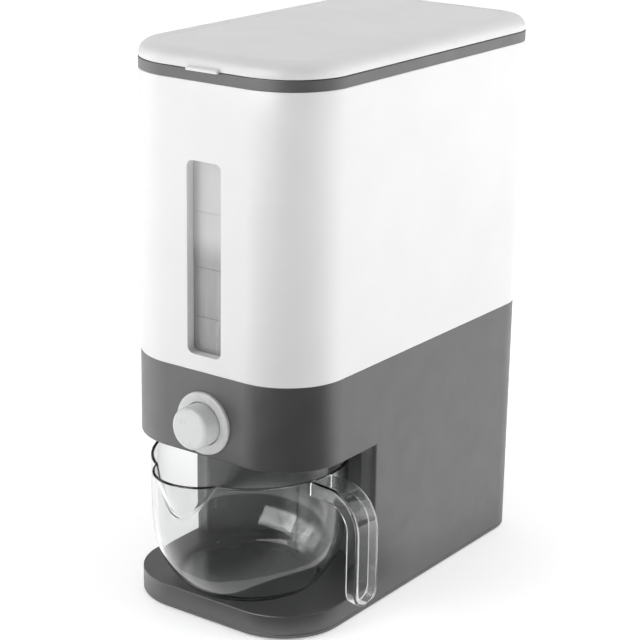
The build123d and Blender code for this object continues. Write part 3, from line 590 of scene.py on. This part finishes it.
def soft_light(name, azimuth, elevation, distance, width, height, power, aim_z=0.2, sees="dg"):
    """A soft panel that looks at the object, azimuth 0 in front and 90 to the right. `sees` says
    whether diffuse shading (d) and glossy reflection (g) take its light."""
    a, e = math.radians(azimuth), math.radians(elevation)
    aim = Vector((0, 0, aim_z))
    spot = aim + distance * Vector((math.sin(a) * math.cos(e), -math.cos(a) * math.cos(e), math.sin(e)))
    lamp = bpy.data.lights.new(name, "AREA")
    lamp.shape, lamp.size, lamp.size_y = "RECTANGLE", width, height
    lamp.energy = power * math.pi * width * height
    made = bpy.data.objects.new(name, lamp)
    bpy.context.scene.collection.objects.link(made)
    made.location = spot
    made.rotation_euler = (aim - spot).to_track_quat("-Z", "Y").to_euler()
    made.visible_camera = False
    made.visible_diffuse, made.visible_glossy = "d" in sees, "g" in sees


soft_light("front_left_panel", -40, 30, 1.5, 1.1, 1.1, 2.8, sees="d")
soft_light("right_panel", 118, 28, 1.6, 1.3, 1.3, 2.55, sees="d")
soft_light("overhead_panel", 200, 75, 1.7, 1.5, 1.5, 1.7, sees="d")
soft_light("front_gloss_panel", -5, 31, 1.2, 0.95, 0.8, 4.6, 0.08, sees="g")
soft_light("left_gloss_panel", -66, 16, 1.2, 0.7, 0.6, 2.2, 0.2, sees="g")
soft_light("right_gloss_panel", 142, 12, 1.2, 1.0, 0.6, 0.8, 0.2, sees="g")
soft_light("back_gloss_panel", 215, 20, 1.6, 1.6, 0.9, 0.55, 0.2, sees="g")


CARD_LIGHT = 1.5                      # emission of a floor card where it is brightest


def sheen_glow(f):
    """Light in front and at the right rear, none at the front right corner."""
    turn = f.add("ShaderNodeMath", {"operation": "ARCTAN2"}, [f.axis("X"), f.axis("Y") * -1.0])
    return turn.step(-0.62, -0.02, 1.0, 0.0) + turn.step(1.45, 2.0, 0.0, 0.833)


def shade_glow(f):
    """Shade before the body that fades out both ways."""
    return f.axis("Y").step(-0.42, -0.22, 0.66, 0.16) + f.axis("Y").step(-0.21, -0.155, 0.0, 0.5)


def floor_card(name, outline, height, glow, glossy):
    """A card lying on the floor that only glossy surfaces see, or only what is seen through
    clear plastic. `glow` gives its light as a share of CARD_LIGHT."""
    mesh = bpy.data.meshes.new(name)
    mesh.from_pydata([(x, y, height) for x, y in outline], [], [list(range(len(outline)))])
    made = bpy.data.objects.new(name, mesh)
    bpy.context.scene.collection.objects.link(made)
    look = Finish(name, Base_Color=(0.01, 0.01, 0.01), Specular_IOR_Level=0.0,
                  Emission_Strength=CARD_LIGHT)
    look.set(Emission_Color=look.blend(glow(look), grey(0.0), grey(1.0)))
    mesh.materials.append(look.material)
    made.visible_camera = made.visible_diffuse = made.visible_shadow = False
    made.visible_glossy, made.visible_transmission = glossy, not glossy


# Cut round the deck's front and the right wall, a little off them, and out to the edge of the floor.
round_front = [(-0.105, -0.1), (-0.08, -0.145), (-0.03, -0.165), (0.03, -0.17), (0.065, -0.158),
               (0.09, -0.135), (0.104, -0.1), (0.108, 0.02), (0.108, 1.3), (1.4, 1.3),
               (1.4, -1.4), (-1.4, -1.4), (-1.4, -0.1)]
shade = [(-0.4, -0.155), (0.4, -0.155), (0.4, -0.42), (-0.4, -0.42)]
floor_card("sheen_card", round_front, 0.0006, sheen_glow, True)
floor_card("shade_card", shade, 0.0009, shade_glow, False)

# White behind the object, and a dim light from all round.
world = bpy.data.worlds.new("studio")
bpy.context.scene.world = world
world.use_nodes = True
studio = NodeMaker(world.node_tree)
backing = world.node_tree.nodes["Background"]
studio.feed(backing.inputs["Color"], (1.0, 1.0, 1.0))
behind_all = studio.add("ShaderNodeLightPath", output="Is Camera Ray")
studio.feed(backing.inputs["Strength"],
            studio.add("ShaderNodeMix", None, {0: behind_all, 2: 0.12, 3: 1.0}))
bpy.context.scene.view_settings.view_transform = "Standard"

lens = bpy.data.cameras.new("camera")
lens.lens, lens.sensor_width, lens.clip_end = 111.8, 36.0, 60.0
camera = bpy.data.objects.new("camera", lens)
bpy.context.scene.collection.objects.link(camera)
# The camera's own directions, and where it stands, in front on the right and above.
right, up, back = (0.8105, 0.5855, 0.0165), (-0.1929, 0.2403, 0.9513), (0.5531, -0.7742, 0.3077)
stand = Matrix((right, up, back)).transposed().to_4x4()
stand.translation = Vector((0.7876, -1.1157, 0.6243))
camera.matrix_world = stand
bpy.context.scene.camera = camera
